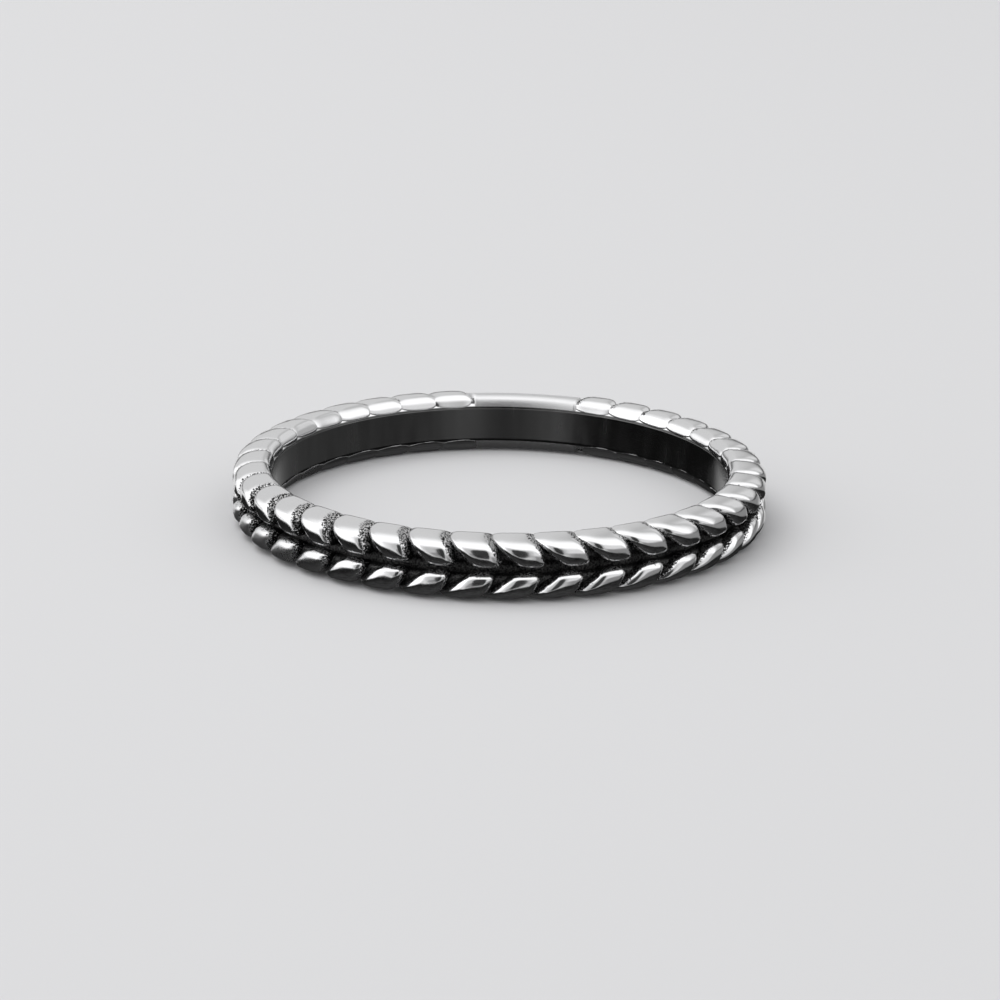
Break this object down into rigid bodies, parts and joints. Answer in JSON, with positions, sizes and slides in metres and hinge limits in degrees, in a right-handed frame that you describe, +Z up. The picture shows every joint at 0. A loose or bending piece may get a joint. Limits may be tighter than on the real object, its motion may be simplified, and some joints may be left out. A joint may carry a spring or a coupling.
{
  "type": "wheat pattern ring",
  "caption": "Slim silver finger ring: plain smooth bore, outside cast as two rows of slanted grains meeting in wheat-ear chevrons, with one short plain stretch.",
  "frame": {"origin": "centre of the finger hole's axis, on the plane that the ring rests on", "axes": "+Z up along the finger hole's axis, the ring lying on its side; the picture looks along +Y from in front and above"},
  "size_m": [0.0204, 0.0203, 0.0023],
  "materials": {
    "oxidised_silver": "sterling silver, crowns mirror polished, recesses blackened"
  },
  "bodies": {
    "root": {"wheat_ring": "oxidised_silver"}
  },
  "joints": []
}
